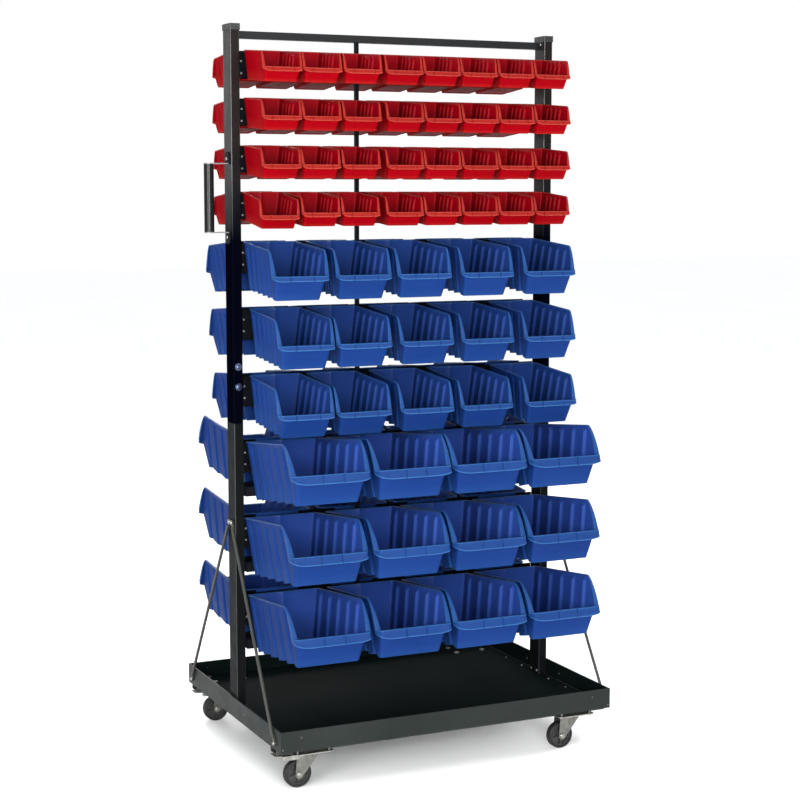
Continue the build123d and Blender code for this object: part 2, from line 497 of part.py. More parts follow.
def make_bin(p):
    h, t, fl = p["h"], p["t"], p["fl"]
    yb = p["yb"]
    ltop = p["lb"] + (p["lw"] - p["lb"]) * h / (h - p["dr"])
    hb_t = p["wtb"] / 2 - fl
    grow = (p["wtf"] - p["wtb"]) / 2 / p["lt"]          # each side runs outwards this much per mm
    hb_b = p["wb"] / 2 - grow * p["lb"]

    def outline(z, inset):
        """The bin's section at height z, with every wall set in by inset."""
        k = (z + h) / h
        back = yb * (1 - k) + inset
        front = p["lb"] + (ltop - p["lb"]) * k - inset
        w0 = hb_b + (hb_t - hb_b) * k - inset
        return quad(z, w0 + grow * back, back, w0 + grow * front, front)

    outer = frustum(outline(-h, 0), outline(0, 0))
    inner = frustum(outline(-h + t, t), outline(3.0, t))
    curve = mouth_curve(p)
    big = ltop + 60
    wide = p["wtf"] / 2 + 30
    cut = [(-y, z) for y, z in curve] + [(-(p["lr"] + 30), curve[-1][1]), (-big, curve[-1][1]), (-big, 30), (-curve[0][0], 30)]
    cutter = prism_yz(cut, -wide, wide)
    body = (outer - inner) - cutter

    # flange along the straight top edges
    tf = 2.0
    rim = frustum(quad(-tf, p["wtb"] / 2, 0, p["wtf"] / 2, p["lt"]), quad(0, p["wtb"] / 2, 0, p["wtf"] / 2, p["lt"]))
    # sloping side lips and the front lip
    tl = 2.4
    wl = p["wtf"] / 2
    n = len(curve)
    off = []
    for i, (y, z) in enumerate(curve):
        a = curve[max(i - 1, 0)]
        b = curve[min(i + 1, n - 1)]
        ty, tz = b[0] - a[0], b[1] - a[1]
        L = math.hypot(ty, tz)
        off.append((tz / L, -ty / L))
    def band(w):
        lower = [(y + oy * w, z + oz * w) for (y, z), (oy, oz) in zip(curve, off)]
        return [(-y, z) for y, z in curve] + [(-y, z) for y, z in reversed(lower)]
    lip = prism_yz(band(tl), -wl, wl)
    for s in (-1, 1):
        lip = lip + prism_yz(band(p["lip"] * 0.62 + 1.0), s * (wl - 2.2), s * wl)
    yl, zl = curve[-1]
    front = box(-wl, wl, -p["lr"], -(yl - 6), zl - tl, zl)
    front += box(-wl, wl, -p["lr"], -(p["lr"] - 2.4), zl - p["lip"], zl)
    for s in (-1, 1):
        front += box(s * (wl - 2.2), s * wl, -p["lr"], -(yl - 8), zl - p["lip"], zl)
    extra = (rim + lip + front) - inner
    solid = body + extra

    # hook behind the back wall
    hookw = p["wtb"] * 0.30
    hook = box(-hookw, hookw, -1.0, 6.8, -1.8, 0.0) + box(-hookw, hookw, 5.2, 6.8, -9.0, 0.0)
    solid = solid + hook
    return solid.solids().sort_by(SortBy.VOLUME)[-1]


BIN = {k: make_bin(p) for k, p in BINS.items()}


def place_bin(side, size, row, col):
    p = BINS[size]
    x = p["xs" if side == "front" else "bxs"][row - 1][col - 1]
    loc = Location((x, -HANG_Y, p["rows"][row - 1]), (p["ths"][row - 1], 0, 0))
    if (side, size, row, col) == ("front", "small", 4, 1):
        # hangs askew: pulled to one side, lifted a little at the hook and tipped further forward
        loc = Location((x - 4.3, -HANG_Y - 0.4, p["rows"][row - 1] + 1.0), (8.0, 0, -1.0))
    s = loc * BIN[size]
    return back_of(s) if side == "back" else s


for side in ("front", "back"):
    for size, p in BINS.items():
        for r in range(1, len(p["rows"]) + 1):
            for c in range(1, len(p["xs"][r - 1]) + 1):
                key = (side, size, r, c)
                name = "%s_%s_bin_r%dc%d" % (side, size, r, c) if key in LOOSE else "%s_%s_bins" % (side, size)
                put(name, place_bin(*key))

# ------------------------------------------------------------------
# write every node
# ------------------------------------------------------------------
os.makedirs("parts", exist_ok=True)
for name, sol in NODES.items():
    moved = [Pos(SHIFT_X, 0, 0) * s for s in sol]
    comp = Compound(children=moved) if len(moved) > 1 else moved[0]
    export_step(comp, "parts/%s.step" % name)
print(len(NODES), "nodes", sum(len(v) for v in NODES.values()), "solids")
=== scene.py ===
import json
import math
import random

import bmesh
import bpy
from mathutils import Matrix, Vector


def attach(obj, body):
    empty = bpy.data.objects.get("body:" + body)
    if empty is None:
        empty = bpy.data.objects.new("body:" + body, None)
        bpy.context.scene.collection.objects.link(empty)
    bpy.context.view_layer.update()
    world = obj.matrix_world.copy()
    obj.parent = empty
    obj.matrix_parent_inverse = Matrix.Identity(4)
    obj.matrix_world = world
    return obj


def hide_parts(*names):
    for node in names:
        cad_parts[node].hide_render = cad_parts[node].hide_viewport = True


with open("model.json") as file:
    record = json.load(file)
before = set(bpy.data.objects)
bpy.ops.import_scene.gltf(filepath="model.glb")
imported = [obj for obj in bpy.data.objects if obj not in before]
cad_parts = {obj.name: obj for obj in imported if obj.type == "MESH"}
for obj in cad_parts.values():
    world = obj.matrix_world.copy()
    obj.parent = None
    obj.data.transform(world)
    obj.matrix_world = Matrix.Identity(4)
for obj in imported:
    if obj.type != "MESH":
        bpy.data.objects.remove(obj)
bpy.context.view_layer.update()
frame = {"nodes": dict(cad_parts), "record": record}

scene = bpy.context.scene
MM = 0.001
SX = 26.4            # the row frame lies this far along X from the middle of the tray
rad = math.radians

# ------------------------------------------------------------------
# camera: the photograph's viewing place and angle
# ------------------------------------------------------------------
cam_data = bpy.data.cameras.new("view")
cam = bpy.data.objects.new("view", cam_data)
scene.collection.objects.link(cam)
YAW, PITCH = rad(24.925), rad(-6.755)
cam.location = (-2.0839, -4.5834, 1.574)
look = Vector((math.sin(YAW) * math.cos(PITCH), math.cos(YAW) * math.cos(PITCH), math.sin(PITCH)))
cam.rotation_euler = look.to_track_quat("-Z", "Y").to_euler()
cam_data.sensor_width = 36.0
cam_data.lens = 79.92
cam_data.clip_start, cam_data.clip_end = 0.05, 80.0
scene.camera = cam


# ------------------------------------------------------------------
# material helpers
# ------------------------------------------------------------------
class Mat:
    def __init__(self, name):
        self.m = bpy.data.materials.new(name)
        self.m.use_nodes = True
        self.nt = self.m.node_tree
        self.nt.nodes.clear()
        self.out = self.nt.nodes.new("ShaderNodeOutputMaterial")
        self.p = self.nt.nodes.new("ShaderNodeBsdfPrincipled")
        self.link(self.p.outputs[0], self.out.inputs["Surface"])
        self.co = self.nt.nodes.new("ShaderNodeTexCoord").outputs["Object"]

    def link(self, a, b):
        self.nt.links.new(a, b)

    def node(self, kind, **kw):
        n = self.nt.nodes.new(kind)
        for k, v in kw.items():
            setattr(n, k, v)
        return n

    def noise(self, scale, detail=2.0, rough=0.5, stretch=None, distortion=0.0):
        n = self.node("ShaderNodeTexNoise")
        n.inputs["Scale"].default_value = scale
        n.inputs["Detail"].default_value = detail
        n.inputs["Roughness"].default_value = rough
        n.inputs["Distortion"].default_value = distortion
        src = self.co
        if stretch:
            mp = self.node("ShaderNodeMapping")
            mp.inputs["Scale"].default_value = stretch
            self.link(src, mp.inputs["Vector"])
            src = mp.outputs[0]
        self.link(src, n.inputs["Vector"])
        return n.outputs["Fac"]

    def voronoi(self, scale, out="Distance", feature="F1", randomness=1.0):
        n = self.node("ShaderNodeTexVoronoi", feature=feature)
        n.inputs["Scale"].default_value = scale
        n.inputs["Randomness"].default_value = randomness
        self.link(self.co, n.inputs["Vector"])
        return n.outputs[out]

    def ramp(self, fac, *stops):
        n = self.node("ShaderNodeValToRGB")
        els = n.color_ramp.elements
        while len(els) < len(stops):
            els.new(0.5)
        for e, (pos, col) in zip(els, stops):
            e.position = pos
            e.color = (*col, 1.0) if len(col) == 3 else col
        self.link(fac, n.inputs["Fac"])
        return n.outputs["Color"]

    def remap(self, fac, a, b, c, d):
        n = self.node("ShaderNodeMapRange")
        n.inputs["From Min"].default_value = a
        n.inputs["From Max"].default_value = b
        n.inputs["To Min"].default_value = c
        n.inputs["To Max"].default_value = d
        self.link(fac, n.inputs["Value"])
        return n.outputs["Result"]

    def mix(self, fac, a, b, mode="MIX"):
        n = self.node("ShaderNodeMix", data_type="RGBA", blend_type=mode)
        for sock, v in ((n.inputs["Factor"], fac), (n.inputs["A"], a), (n.inputs["B"], b)):
            # a Mix node has several sockets by the same name, so the right one is found by type
            pass
        fs = [s for s in n.inputs if s.name == "Factor" and s.type == "VALUE"][0]
        sa = [s for s in n.inputs if s.name == "A" and s.type == "RGBA"][0]
        sb = [s for s in n.inputs if s.name == "B" and s.type == "RGBA"][0]
        for sock, v in ((fs, fac), (sa, a), (sb, b)):
            if isinstance(v, (int, float)):
                sock.default_value = v
            elif isinstance(v, tuple):
                sock.default_value = (*v, 1.0)
            else:
                self.link(v, sock)
        return [s for s in n.outputs if s.type == "RGBA"][0]

    def math(self, op, a, b=None):
        n = self.node("ShaderNodeMath", operation=op)
        for i, v in enumerate((a, b)):
            if v is None:
                continue
            if isinstance(v, (int, float)):
                n.inputs[i].default_value = v
            else:
                self.link(v, n.inputs[i])
        return n.outputs[0]

    def attr(self, name):
        n = self.node("ShaderNodeAttribute", attribute_name=name)
        return n.outputs["Fac"]

    def bump(self, *layers):
        """layers: (height socket, strength, distance in metres)."""
        last = None
        for h, s, d in layers:
            n = self.node("ShaderNodeBump")
            n.inputs["Strength"].default_value = s
            n.inputs["Distance"].default_value = d
            self.link(h, n.inputs["Height"])
            if last is not None:
                self.link(last, n.inputs["Normal"])
            last = n.outputs["Normal"]
        self.link(last, self.p.inputs["Normal"])

    def set(self, **kw):
        names = {"rough": "Roughness", "metal": "Metallic", "spec": "Specular IOR Level", "coat": "Coat Weight",
                 "coat_rough": "Coat Roughness", "ior": "IOR"}
        for k, v in kw.items():
            self.p.inputs[names[k]].default_value = v


def moulded_plastic(name, deep, base, worn_and_highlight, rough=0.33, spec=0.26):
    """Injection moulded polypropylene: even colour with slight flow clouds, a fine eroded grain,
    polished and lighter along rims and feet: scuffing at the feet, painted highlight along the lip's top face and
    edges."""
    m = Mat(name)
    cloud = m.noise(3.2, 3.0, 0.55)
    flow = m.noise(9.0, 4.0, 0.6, stretch=(1.0, 1.0, 0.35))
    col = m.ramp(cloud, (0.30, deep), (0.72, base))
    col = m.mix(m.remap(flow, 0.35, 0.75, 0.0, 0.35), col, base)
    # per-vertex weight toward the lighter colour: painted highlight on the lip's top face and edges, scuffing at the
    # feet
    wear_and_highlight = m.attr("wear_and_highlight")
    scuff = m.noise(190.0, 5.0, 0.7)
    highlight_and_scuff_amount = m.math("MULTIPLY", wear_and_highlight, m.remap(scuff, 0.25, 0.85, 0.60, 0.90))
    col = m.mix(highlight_and_scuff_amount, col, worn_and_highlight)
    # per-bin shade: not two bins from quite the same batch
    tone = m.attr("tone")
    col = m.mix(m.math("MULTIPLY", tone, 0.16), col, tuple(c * 0.62 for c in base))
    dust = m.noise(28.0, 5.0, 0.65)
    m.link(col, m.p.inputs["Base Color"])
    r = m.remap(dust, 0.30, 0.75, rough - 0.05, rough + 0.09)
    r = m.math("SUBTRACT", r, m.math("MULTIPLY", wear_and_highlight, 0.05))
    m.link(r, m.p.inputs["Roughness"])
    m.set(spec=spec)
    grain = m.noise(1400.0, 2.0, 0.5)
    sink = m.noise(22.0, 2.0, 0.5)
    m.bump((grain, 0.06, 0.0002), (sink, 0.10, 0.0012))
    return m.m


def powder_coat(name, dark, light, rough=0.38, peel=1.0, spec=0.5):
    """Baked paint on steel: orange peel, small colour clouds, a little dust and rubbed spots."""
    m = Mat(name)
    cloud = m.noise(4.5, 4.0, 0.6)
    col = m.ramp(cloud, (0.28, dark), (0.75, light))
    speck = m.noise(620.0, 2.0, 0.5)
    col = m.mix(m.remap(speck, 0.66, 0.80, 0.0, 0.25), col, tuple(min(1, c * 2.2 + 0.01) for c in light))
    rub = m.noise(55.0, 6.0, 0.75, stretch=(1.0, 1.0, 0.25))
    col = m.mix(m.remap(rub, 0.70, 0.80, 0.0, 0.30), col, tuple(min(1, c * 1.9 + 0.012) for c in light))
    m.link(col, m.p.inputs["Base Color"])
    m.link(m.remap(m.noise(17.0, 5.0, 0.65), 0.30, 0.75, rough - 0.06, rough + 0.10), m.p.inputs["Roughness"])
    m.set(spec=spec)
    m.bump((m.noise(520.0, 2.0, 0.5), 0.10 * peel, 0.0003), (m.noise(60.0, 2.0, 0.5), 0.05 * peel, 0.0006))
    return m.m


def tray_inside(name, dark, light, seam_x):
    """The tray's inner coat, darker than the outer coat as painted shade, with the thin edge of the end plate that is
    spot welded on its floor drawn as a lighter line, a painted highlight.
    """
    m = Mat(name)
    col = m.ramp(m.noise(4.5, 4.0, 0.6), (0.28, dark), (0.75, light))
    speck = m.noise(620.0, 2.0, 0.5)
    col = m.mix(m.remap(speck, 0.66, 0.80, 0.0, 0.20), col, tuple(c * 2.0 + 0.004 for c in light))
    xyz = m.node("ShaderNodeSeparateXYZ")
    m.link(m.co, xyz.inputs[0])
    off = m.math("ABSOLUTE", m.math("SUBTRACT", xyz.outputs["X"], seam_x))
    seam_highlight = m.math("LESS_THAN", off, 0.0016)
    broken = m.remap(m.noise(14.0, 4.0, 0.7), 0.34, 0.60, 0.35, 1.0)
    # painted highlight: the plate edge is drawn as a lighter line
    col = m.mix(m.math("MULTIPLY", seam_highlight, broken), col, (0.045, 0.048, 0.046))
    m.link(col, m.p.inputs["Base Color"])
    m.link(m.remap(m.noise(6.0, 3.0, 0.5), 0.30, 0.75, 0.60, 0.66), m.p.inputs["Roughness"])
    m.set(spec=0.007)
    m.bump((m.noise(520.0, 2.0, 0.5), 0.05, 0.0003), (m.noise(60.0, 2.0, 0.5), 0.02, 0.0004), (m.remap(off, 0.0, 0.0016, 1.0, 0.0), 0.3, 0.0008))
    return m.m


def zinc_plate(name, dark, light, rough=0.34):
    """Bright zinc plate: cloudy metal, fine rolling lines and small dull patches."""
    m = Mat(name)
    cloud = m.noise(60.0, 5.0, 0.65)
    col = m.ramp(cloud, (0.28, dark), (0.72, light))
    m.link(col, m.p.inputs["Base Color"])
    m.set(metal=1.0)
    m.link(m.remap(m.noise(140.0, 5.0, 0.7), 0.3, 0.75, rough - 0.09, rough + 0.13), m.p.inputs["Roughness"])
    m.bump((m.noise(900.0, 3.0, 0.6, stretch=(1.0, 1.0, 0.12)), 0.10, 0.0002), (m.noise(90.0, 2.0, 0.5), 0.06, 0.0005))
    return m.m


def rubber(name):
    m = Mat(name)
    col = m.ramp(m.noise(70.0, 5.0, 0.7), (0.30, (0.0045, 0.0045, 0.0050)), (0.75, (0.0125, 0.0122, 0.0120)))
    m.link(col, m.p.inputs["Base Color"])
    m.link(m.remap(m.noise(120.0, 4.0, 0.6), 0.3, 0.7, 0.48, 0.66), m.p.inputs["Roughness"])
    m.set(spec=0.22)
    m.bump((m.noise(1100.0, 2.0, 0.5), 0.18, 0.0003), (m.noise(240.0, 3.0, 0.6), 0.12, 0.0004))
    return m.m


def post_coat_painted_light(name, low, mid, top, shine=0.17):
    """Baked paint that goes from nearly black low on the post to grey at its top; the grey toward the top is painted
    light, a reflection painted into the colour, and the paint also gets glossier upward.
    """
    m = Mat(name)
    xyz = m.node("ShaderNodeSeparateXYZ")
    m.link(m.co, xyz.inputs[0])
    z = xyz.outputs["Z"]
    cloud = m.noise(5.0, 4.0, 0.6)
    h = m.math("ADD", z, m.math("MULTIPLY", m.math("SUBTRACT", cloud, 0.5), 0.05))
    # painted light: the colour lightens with height for light reflected on the upper post
    col = m.ramp(m.remap(h, 1.45, 1.75, 0.0, 1.0), (0.0, low), (0.42, mid), (0.95, top))
    rub = m.noise(55.0, 6.0, 0.75, stretch=(1.0, 1.0, 0.25))
    col = m.mix(m.remap(rub, 0.68, 0.80, 0.0, 0.25), col, tuple(c * 1.8 + 0.006 for c in top))
    m.link(col, m.p.inputs["Base Color"])
    m.link(m.remap(m.noise(17.0, 5.0, 0.65), 0.30, 0.75, 0.30, 0.44), m.p.inputs["Roughness"])
    m.link(m.remap(h, 1.44, 1.62, 0.0, shine), m.p.inputs["Specular IOR Level"])
    m.bump((m.noise(520.0, 2.0, 0.5), 0.10, 0.0003), (m.noise(60.0, 2.0, 0.5), 0.05, 0.0006))
    return m.m


def plain_plastic(name, dark, light, rough=0.4):
    m = Mat(name)
    col = m.ramp(m.noise(45.0, 4.0, 0.6), (0.30, dark), (0.72, light))
    m.link(col, m.p.inputs["Base Color"])
    m.link(m.remap(m.noise(80.0, 4.0, 0.6), 0.3, 0.7, rough - 0.06, rough + 0.08), m.p.inputs["Roughness"])
    m.bump((m.noise(1300.0, 2.0, 0.5), 0.10, 0.0002), (m.noise(70.0, 2.0, 0.5), 0.05, 0.0005))
    return m.m


RED = moulded_plastic("bin_red", (0.150, 0.0002, 0.0020), (0.188, 0.0003, 0.0028), (0.30, 0.018, 0.013), rough=0.50, spec=0.012)
# painted light: a lighter, more orange copy of the red for the bin rims, standing for light on the lip
RED_RIM_PAINTED_LIGHT = moulded_plastic("bin_red_rim_painted_light", (0.165, 0.0068, 0.0050), (0.195, 0.0088, 0.0064), (0.29, 0.036, 0.024), rough=0.36, spec=0.10)
BLUE = moulded_plastic("bin_blue", (0.0042, 0.0190, 0.100), (0.0060, 0.0248, 0.122), (0.013, 0.055, 0.18), rough=0.50, spec=0.03)
# painted light: a lighter copy of the blue for the bin rims, standing for light on the lip
BLUE_RIM_PAINTED_LIGHT = moulded_plastic("bin_blue_rim_painted_light", (0.0048, 0.0240, 0.104), (0.0062, 0.0295, 0.124), (0.022, 0.092, 0.235), rough=0.34, spec=0.14)
RED_IN = moulded_plastic("bin_red_inside", (0.150, 0.0004, 0.0030), (0.190, 0.0005, 0.0038), (0.30, 0.018, 0.014), rough=0.44, spec=0.05)
# painted light: inside copies of the blue, lighter than the outer walls, most of all in the large bins
BLUE_MEDIUM_INSIDE_PAINTED_LIGHT = moulded_plastic("bin_blue_inside_medium_painted_light", (0.0058, 0.0210, 0.104), (0.0084, 0.0280, 0.132), (0.016, 0.060, 0.20), rough=0.46, spec=0.05)
BLUE_LARGE_INSIDE_PAINTED_LIGHT = moulded_plastic("bin_blue_inside_large_painted_light", (0.0100, 0.0300, 0.155), (0.0138, 0.0400, 0.190), (0.022, 0.075, 0.26), rough=0.46, spec=0.05)
PAINT = powder_coat("paint_anthracite", (0.017, 0.018, 0.016), (0.027, 0.028, 0.024), rough=0.36, spec=0.35)
PAINT_BAR = powder_coat("paint_bar", (0.006, 0.007, 0.008), (0.010, 0.011, 0.012), rough=0.42, spec=0.18)
PAINT_TRAY = powder_coat("paint_tray", (0.0105, 0.0135, 0.0125), (0.0165, 0.0200, 0.0185), rough=0.42, peel=0.7, spec=0.06)
# painted shade: the darker inner coat of the tray
PAINT_TRAY_IN_SHADED = tray_inside("paint_tray_inside_painted_shade", (0.0020, 0.0044, 0.0042), (0.0034, 0.0064, 0.0061), 0.5145)
PAINT_LOW = powder_coat("paint_post_lower", (0.0022, 0.0027, 0.0030), (0.0038, 0.0044, 0.0047), rough=0.46, peel=0.8, spec=0.030)
PAINT_BOLT = zinc_plate("zinc_blued", (0.05, 0.065, 0.12), (0.12, 0.15, 0.25), rough=0.30)
PAINT_BLACK = powder_coat("paint_black", (0.0024, 0.0028, 0.0040), (0.0042, 0.0048, 0.0066), rough=0.44, spec=0.045)
# painted shade: the rails are near black so the gap between post and bins reads dark
PAINT_RAIL_SHADED = powder_coat("paint_rails_painted_shade", (0.0012, 0.0014, 0.0022), (0.0024, 0.0027, 0.0038), rough=0.50, spec=0.02)
GLOSS_TUBE = powder_coat("paint_gloss_tube", (0.0050, 0.0050, 0.0058), (0.0080, 0.0080, 0.0090), rough=0.08, peel=0.2, spec=0.12)
POST_UP_PAINTED_LIGHT = post_coat_painted_light("paint_post_upper_painted_light", (0.0006, 0.0008, 0.0026), (0.0010, 0.0012, 0.0022), (0.0036, 0.0014, 0.0012))
BRACKET = powder_coat("paint_bracket", (0.09, 0.09, 0.09), (0.14, 0.14, 0.135), rough=0.40)
# painted highlight: lighter coats for the posts' rounded corners, upper and lower
POST_CORNER_UP_PAINTED_HIGHLIGHT = post_coat_painted_light("paint_post_edge_upper_painted_highlight", (0.0010, 0.0014, 0.0030), (0.0040, 0.0048, 0.0062), (0.014, 0.017, 0.020), shine=0.45)
POST_CORNER_LOW_PAINTED_HIGHLIGHT = powder_coat("paint_post_edge_lower_painted_highlight", (0.008, 0.009, 0.009), (0.014, 0.016, 0.016), rough=0.32, peel=0.4, spec=0.26)
ZINC = zinc_plate("zinc", (0.20, 0.20, 0.185), (0.33, 0.325, 0.30), rough=0.40)
ZINC_FORK = zinc_plate("zinc_fork", (0.11, 0.11, 0.100), (0.20, 0.198, 0.180), rough=0.42)
# dull zinc: real dull zinc on the castor and strut bolts, painted shade on the rail screws
ZINC_DULL_AND_SHADED = zinc_plate("zinc_dull_and_shaded", (0.09, 0.09, 0.088), (0.15, 0.148, 0.142), rough=0.50)
TYRE = rubber("tyre_rubber")
HUB = plain_plastic("hub_plastic", (0.012, 0.0122, 0.0122), (0.022, 0.0222, 0.0222), rough=0.38)
CAP = plain_plastic("cap_plastic", (0.0030, 0.0033, 0.0040), (0.0055, 0.0058, 0.0068), rough=0.44)

NODE_MATS = {
    "tray": PAINT_TRAY, "under_channels": PAINT, "castor_plates": ZINC, "king_pins": ZINC, "castor_bolts": ZINC_DULL_AND_SHADED,
    "lower_posts": PAINT_LOW, "upper_posts": POST_UP_PAINTED_LIGHT, "splice_sleeves": PAINT, "splice_bolts": PAINT_BOLT,
    "post_feet": PAINT, "post_caps": CAP, "top_bar": PAINT_BAR, "centre_strut": PAINT_BLACK, "strut_bolts": ZINC_DULL_AND_SHADED,
    "bin_rails": PAINT_RAIL_SHADED, "rail_angles": PAINT_RAIL_SHADED, "small_screws": ZINC, "prop_bars": PAINT_BLACK,
    "brace_rods": PAINT, "brace_bolts": ZINC, "handle_tube": GLOSS_TUBE, "handle_brackets": PAINT_BLACK,
}
for tag in ("front_left", "front_right", "back_left", "back_right"):
    NODE_MATS["fork_" + tag] = ZINC_FORK
    NODE_MATS["axle_" + tag] = ZINC
    NODE_MATS["hub_" + tag] = HUB
    NODE_MATS["tyre_" + tag] = TYRE
    NODE_MATS["brake_pedal_" + tag] = ZINC
    NODE_MATS["brake_pin_" + tag] = ZINC


def dress(ob, mat):
    ob.data.materials.clear()
    ob.data.materials.append(mat)
    for p in ob.data.polygons:
        p.material_index = 0


EDGE = {"tray": 0.8, "under_channels": 0.7, "bin_rails": 0.4, "rail_angles": 0.4, "prop_bars": 0.6, "top_bar": 0.9,
        "centre_strut": 0.8, "handle_brackets": 0.4, "castor_plates": 0.5, "post_feet": 0.5}
for name, ob in frame["nodes"].items():
    if name in NODE_MATS:
        dress(ob, NODE_MATS[name])
    edge = 0.35 if name.startswith(("fork_", "brake_pedal_")) else EDGE.get(name)
    if edge:
        # folded sheet and tube: every sharp edge gets its small radius
        bv = ob.modifiers.new("edge", "BEVEL")
        bv.width, bv.segments, bv.limit_method, bv.angle_limit = edge * MM, 2, "ANGLE", rad(40)
        bv.use_clamp_overlap = True
    elif "small_bin" in name:
        dress(ob, RED)
    elif "medium" in name or "large" in name:
        dress(ob, BLUE)


# the tray's inside keeps a darker, duller coat than its outer faces; the darker colour is painted shade
tray = frame["nodes"]["tray"]
tray.data.materials.append(PAINT_TRAY_IN_SHADED)
for pg in tray.data.polygons:
    c, n = pg.center, pg.normal
    if c.z > 0.1235 and ((n.z > 0.9 and c.z < 0.15) or (abs(c.y) < 0.3795 and abs(c.x - SX * MM) < 0.4985 and c.y * n.y + (c.x - SX * MM) * n.x < 0 and abs(n.z) < 0.3)):
        pg.material_index = 1


# the small screws through the rails are duller and darker than the rivets of the tray; the darker colour is painted
# shade for the dark gap around the rails
screws = frame["nodes"]["small_screws"]
screws.data.materials.append(ZINC_DULL_AND_SHADED)
for pg in screws.data.polygons:
    if (pg.center.z > 0.25 and abs(pg.center.y) > 0.02) or (pg.center.z < 0.25 and abs(pg.center.y) > 0.10):
        pg.material_index = 1
# the posts' rounded corners get a lighter, shinier coat than their faces: a painted highlight along the corners
for name in ("upper_posts", "lower_posts"):
    me = frame["nodes"][name].data
    me.materials.append(POST_CORNER_UP_PAINTED_HIGHLIGHT if name == "upper_posts" else POST_CORNER_LOW_PAINTED_HIGHLIGHT)
    for pg in me.polygons:
        if abs(pg.normal.x) > 0.25 and abs(pg.normal.y) > 0.25 and abs(pg.normal.z) < 0.3:
            pg.material_index = 1
# the handle's brackets have lighter arms
arms = frame["nodes"]["handle_brackets"].data
arms.materials.append(BRACKET)
for pg in arms.polygons:
    if pg.center.x < -0.4725:
        pg.material_index = 1


# ------------------------------------------------------------------
# mesh helpers
# ------------------------------------------------------------------
def make_object(name, verts, faces, mat, body, stands_for=(), angle=38.0, attrs=None, indices=None):
    """verts in millimetres in the row frame."""
    me = bpy.data.meshes.new(name)
    me.from_pydata([(x * MM, y * MM, z * MM) for x, y, z in verts], [], faces)
    me.update()
    bm = bmesh.new()
    bm.from_mesh(me)
    bmesh.ops.recalc_face_normals(bm, faces=bm.faces)
    bm.to_mesh(me)
    bm.free()
    me.shade_smooth()
    me.set_sharp_from_angle(angle=rad(angle))
    for key, values in (attrs or {}).items():
        a = me.attributes.new(key, "FLOAT", "POINT")
        a.data.foreach_set("value", values)
    for m in (mat if isinstance(mat, tuple) else (mat,)):
        me.materials.append(m)
    if indices:
        me.polygons.foreach_set("material_index", indices)
    ob = bpy.data.objects.new(name, me)
    scene.collection.objects.link(ob)
    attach(ob, body)
    if stands_for:
        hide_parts(*stands_for)
    return ob


def smooth01(v):
    v = min(1.0, max(0.0, v))
    return v * v * (3 - 2 * v)


def lerp(a, b, k):
    return a + (b - a) * k


